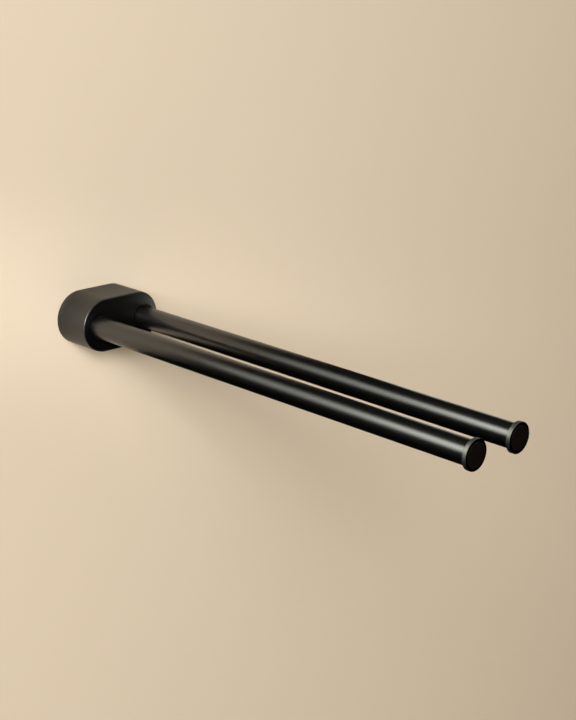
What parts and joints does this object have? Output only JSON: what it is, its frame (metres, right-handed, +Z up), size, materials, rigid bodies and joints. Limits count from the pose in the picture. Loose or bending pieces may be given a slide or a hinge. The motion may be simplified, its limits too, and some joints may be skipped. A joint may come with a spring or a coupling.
{
  "type": "double towel bar",
  "caption": "Wall-mounted towel holder: parallel round bars stand square to the wall on an obround housing, each ending in a thin flanged cap.",
  "frame": {"origin": "centre of the housing's back, on the wall plane, midway between the bars and level with them", "axes": "+Z up; +Y into the wall, so the bars reach towards -Y; +X to the right for someone facing the wall"},
  "size_m": [0.0814, 0.438, 0.047],
  "materials": {
    "housing_black": "satin black powder coat on a zinc casting",
    "bar_black": "satin black finish on brass tube",
    "cap_black": "satin black finish on turned brass",
    "collar_nylon": "moulded black nylon",
    "bare_steel": "machined steel",
    "zinc_plated_steel": "pressed steel with bright zinc plating",
    "plug_brass": "turned brass",
    "sealing_rubber": "black sealing rubber"
  },
  "bodies": {
    "root": {"housing": "housing_black", "wall_plate": "zinc_plated_steel", "wall_gasket": "sealing_rubber", "carrier_plate": "bare_steel", "left_bar": "bar_black", "left_root_plug": "plug_brass", "left_root_ring": "collar_nylon", "left_bar_bolt": "bare_steel", "left_plain_washer": "zinc_plated_steel", "left_spring_washer": "bare_steel", "left_end_cap": "cap_black", "left_cap_ring": "sealing_rubber", "left_cap_disc": "cap_black", "left_set_screw": "bare_steel", "right_bar": "bar_black", "right_root_plug": "plug_brass", "right_root_ring": "collar_nylon", "right_bar_bolt": "bare_steel", "right_plain_washer": "zinc_plated_steel", "right_spring_washer": "bare_steel", "right_end_cap": "cap_black", "right_cap_ring": "sealing_rubber", "right_cap_disc": "cap_black", "right_set_screw": "bare_steel"}
  },
  "joints": []
}
